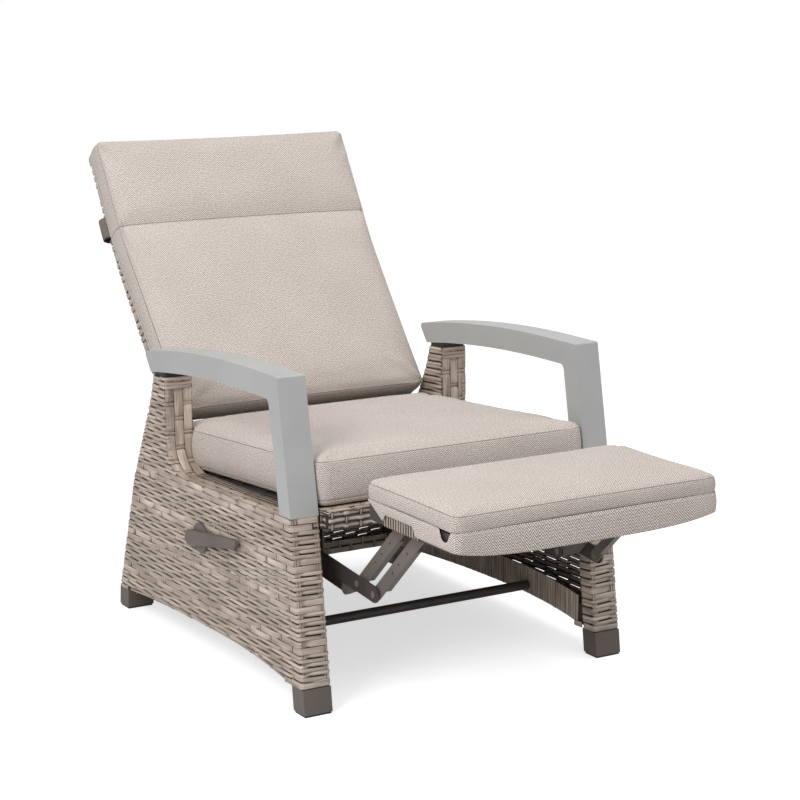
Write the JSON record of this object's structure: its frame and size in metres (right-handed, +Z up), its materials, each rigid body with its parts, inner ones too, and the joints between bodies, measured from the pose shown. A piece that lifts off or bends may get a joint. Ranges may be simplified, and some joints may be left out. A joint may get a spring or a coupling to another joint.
{
  "type": "reclining garden armchair",
  "caption": "Woven garden armchair with curved metal arms, a back that reclines on a gas spring, and a padded footrest that folds in under the seat on a linkage.",
  "frame": {"origin": "on the floor, in the middle of the chair from side to side, and of its length with the back reclined and the footrest out", "axes": "+Z up, the sitter faces -Y, +X is the sitter's left"},
  "size_m": [0.7552, 1.5222, 1.0053],
  "materials": {
    "wicker": "flat woven strands, streaky taupe brown",
    "arm_metal": "light grey satin powder coat",
    "inner_frame": "taupe brown powder coat",
    "seat_metal": "dark brown powder coat",
    "linkage": "dark brown-grey powder coat",
    "foot_metal": "taupe powder coat",
    "fastener": "zinc plated",
    "cushion_cloth": "light greige melange twill",
    "webbing": "black elastic webbing",
    "dark_plastic": "dark moulded plastic",
    "gas_tube": "black paint"
  },
  "bodies": {
    "base": {"right_front_foot": "foot_metal", "right_rear_foot": "foot_metal", "right_side_frame": "inner_frame", "right_side_weave": "wicker", "right_arm": "arm_metal", "right_arm_cap": "dark_plastic", "right_mount_plate": "linkage", "right_hinge_plate": "linkage", "left_front_foot": "foot_metal", "left_rear_foot": "foot_metal", "left_side_frame": "inner_frame", "left_side_weave": "wicker", "left_arm": "arm_metal", "left_arm_cap": "dark_plastic", "left_mount_plate": "linkage", "left_hinge_plate": "linkage", "floor_glides": "dark_plastic", "front_rail": "inner_frame", "apron_weave": "wicker", "stretcher": "seat_metal", "rear_weave": "wicker", "rear_frame": "inner_frame", "seat_frame": "seat_metal", "seat_webbing": "webbing", "seat_cushion": "cushion_cloth", "mount_rivets": "fastener", "gas_bracket": "linkage", "gas_pin": "fastener", "lever_boss": "dark_plastic", "hinge_pins": "fastener"},
    "back": {"back_frame": "inner_frame", "back_weave": "wicker", "back_cushion": "cushion_cloth", "right_hinge_arm": "linkage", "left_hinge_arm": "linkage", "back_crank": "linkage", "crank_pin": "fastener", "cushion_strap": "cushion_cloth"},
    "gas_rod": {"gas_rod": "fastener"},
    "gas_cylinder": {"gas_cylinder": "gas_tube"},
    "lever": {"lever_handle": "foot_metal", "lever_shaft": "fastener", "release_cam": "linkage"},
    "main_links": {"right_main_link": "linkage", "left_main_link": "linkage", "main_link_rivets": "fastener"},
    "rear_links": {"right_rear_link": "linkage", "left_rear_link": "linkage", "rear_link_rivets": "fastener"},
    "rear_risers": {"right_rear_riser": "linkage", "left_rear_riser": "linkage"},
    "front_risers": {"right_front_riser": "linkage", "left_front_riser": "linkage"},
    "footrest": {"footrest_frame": "seat_metal", "footrest_slats": "seat_metal", "footrest_pad": "cushion_cloth", "footrest_cover": "cushion_cloth", "right_rest_bracket": "linkage", "left_rest_bracket": "linkage", "rest_rivets": "fastener"}
  },
  "joints": [
    {"name": "back_recline", "type": "hinge", "parent": "base", "child": "back", "pos_m": [0, 0.289, 0.35], "axis": [1, 0, 0], "range_deg": [0, 22]},
    {"name": "gas_tilt", "type": "hinge", "parent": "base", "child": "gas_rod", "pos_m": [0, 0.102, 0.262], "axis": [1, 0, 0], "range_deg": [0, 1.83]},
    {"name": "gas_slide", "type": "slide", "parent": "gas_rod", "child": "gas_cylinder", "axis": [0, 0.9991, 0.0428], "range_m": [0, 0.0298]},
    {"name": "lever_release", "type": "hinge", "parent": "base", "child": "lever", "pos_m": [0, 0.059, 0.252], "axis": [1, 0, 0], "range_deg": [-15, 0], "stiffness_Nm_per_rad": 1.5, "springref_deg": 20.05},
    {"name": "footrest_fold", "type": "hinge", "parent": "base", "child": "main_links", "pos_m": [0, -0.216, 0.263], "axis": [1, 0, 0], "range_deg": [0, 90]},
    {"name": "rear_link_swing", "type": "hinge", "parent": "base", "child": "rear_links", "pos_m": [0, -0.158, 0.239], "axis": [1, 0, 0], "range_deg": [0, 90]},
    {"name": "riser_swing", "type": "hinge", "parent": "main_links", "child": "rear_risers", "pos_m": [0, -0.373, 0.248], "axis": [1, 0, 0], "range_deg": [-90, 0]},
    {"name": "front_riser_swing", "type": "hinge", "parent": "main_links", "child": "front_risers", "pos_m": [0, -0.43266, 0.2423], "axis": [1, 0, 0], "range_deg": [-90, 0]},
    {"name": "footrest_tilt", "type": "hinge", "parent": "rear_risers", "child": "footrest", "pos_m": [0, -0.53575, 0.40191], "axis": [1, 0, 0], "range_deg": [0, 90]}
  ],
  "couplings": [
    {"joint": "gas_tilt", "follows": "back_recline", "ratio": 0.083189},
    {"joint": "gas_slide", "follows": "back_recline", "m_per_rad": 0.077594},
    {"joint": "rear_link_swing", "follows": "footrest_fold", "ratio": 1},
    {"joint": "riser_swing", "follows": "footrest_fold", "ratio": -1},
    {"joint": "front_riser_swing", "follows": "footrest_fold", "ratio": -1},
    {"joint": "footrest_tilt", "follows": "footrest_fold", "ratio": 1}
  ]
}
